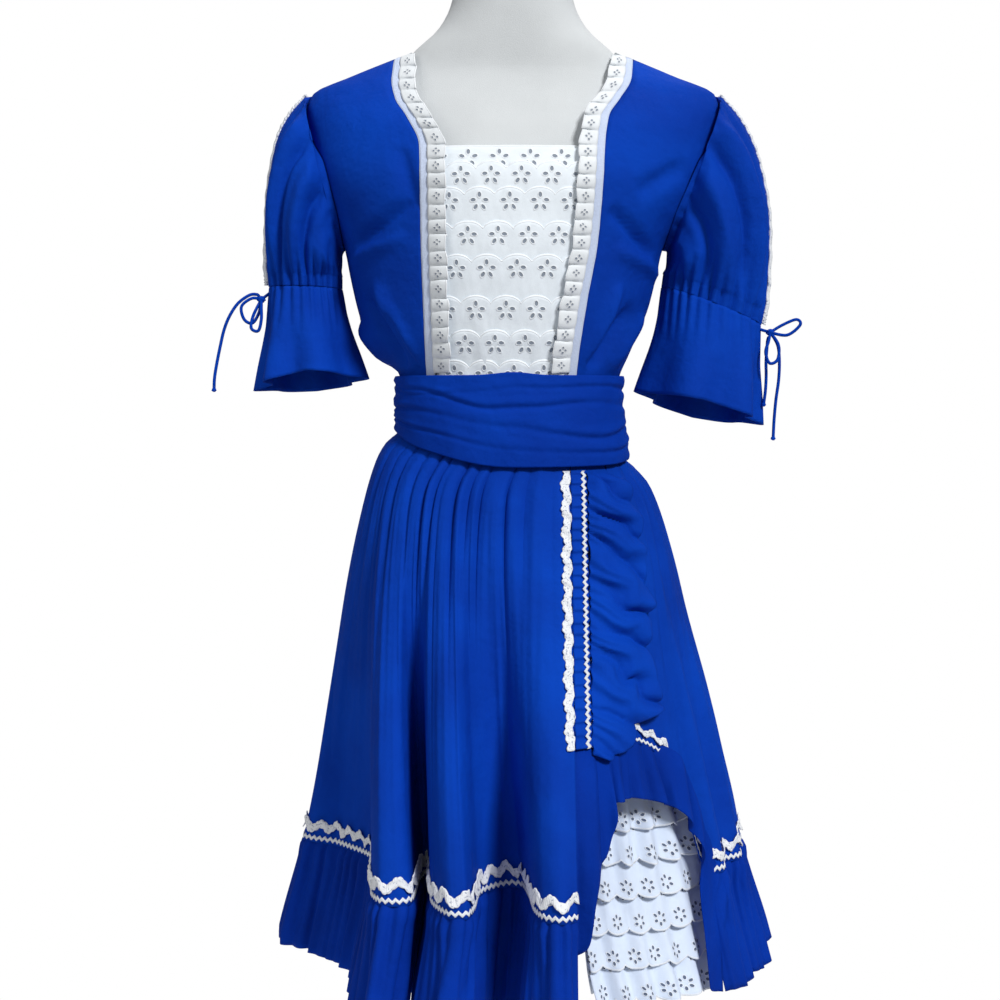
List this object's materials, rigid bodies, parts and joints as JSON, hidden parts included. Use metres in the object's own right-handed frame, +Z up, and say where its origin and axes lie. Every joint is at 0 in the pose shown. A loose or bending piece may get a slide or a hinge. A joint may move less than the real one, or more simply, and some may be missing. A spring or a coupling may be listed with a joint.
{
  "type": "square dance dress on a dress form",
  "caption": "Puff-sleeved full dress with an eyelet front inset, wide folded sash, flounced hem and a hitched-up side over scalloped tiers, on a limbless form.",
  "frame": {"origin": "on the floor, at the middle of the stand base's underside", "axes": "+Z up along the pole, -Y towards the front of the dress, +X towards the wearer's left"},
  "size_m": [0.6442, 0.5696, 1.4973],
  "materials": {
    "blue_cotton": "matte",
    "white_eyelet": "matte",
    "white_band": "satin",
    "white_trim": "matte",
    "form_cloth": "matte",
    "stand_metal": "satin"
  },
  "bodies": {
    "root": {"form_torso": "form_cloth", "form_neck_cap": "form_cloth", "stand_base": "stand_metal", "stand_pole": "stand_metal", "neck_band_right": "white_band", "neck_band_left": "white_band", "neck_band_back": "white_band", "neck_ruffle_right": "white_trim", "neck_ruffle_left": "white_trim", "neck_ruffle_back": "white_trim", "sleeve_lace_right": "white_trim", "sleeve_lace_left": "white_trim", "hem_lace_front": "white_trim", "hem_lace_back": "white_trim", "hem_rickrack_front": "white_trim", "hem_rickrack_back": "white_trim", "shirr_lace": "white_trim", "shirr_rickrack": "white_trim", "front_panel": "white_eyelet", "eyelet_underskirt": "white_eyelet", "eyelet_tier_1": "white_eyelet", "eyelet_tier_2": "white_eyelet", "eyelet_tier_3": "white_eyelet", "eyelet_tier_4": "white_eyelet", "eyelet_tier_5": "white_eyelet", "eyelet_tier_6": "white_eyelet", "eyelet_tier_7": "white_eyelet", "bodice_front_right": "blue_cotton", "bodice_front_left": "blue_cotton", "bodice_back_right": "blue_cotton", "bodice_back_left": "blue_cotton", "sleeve_right": "blue_cotton", "sleeve_left": "blue_cotton", "cuff_flounce_right": "blue_cotton", "cuff_flounce_left": "blue_cotton", "tie_bow_right": "blue_cotton", "tie_bow_left": "blue_cotton", "tie_tail_right_1": "blue_cotton", "tie_tail_left_1": "blue_cotton", "tie_tail_left_2": "blue_cotton", "cummerbund": "blue_cotton", "skirt_front": "blue_cotton", "skirt_back": "blue_cotton", "hem_flounce_front": "blue_cotton", "hem_flounce_back": "blue_cotton", "shirred_strip": "blue_cotton", "side_drape": "blue_cotton", "arch_flounce": "blue_cotton"}
  },
  "joints": []
}
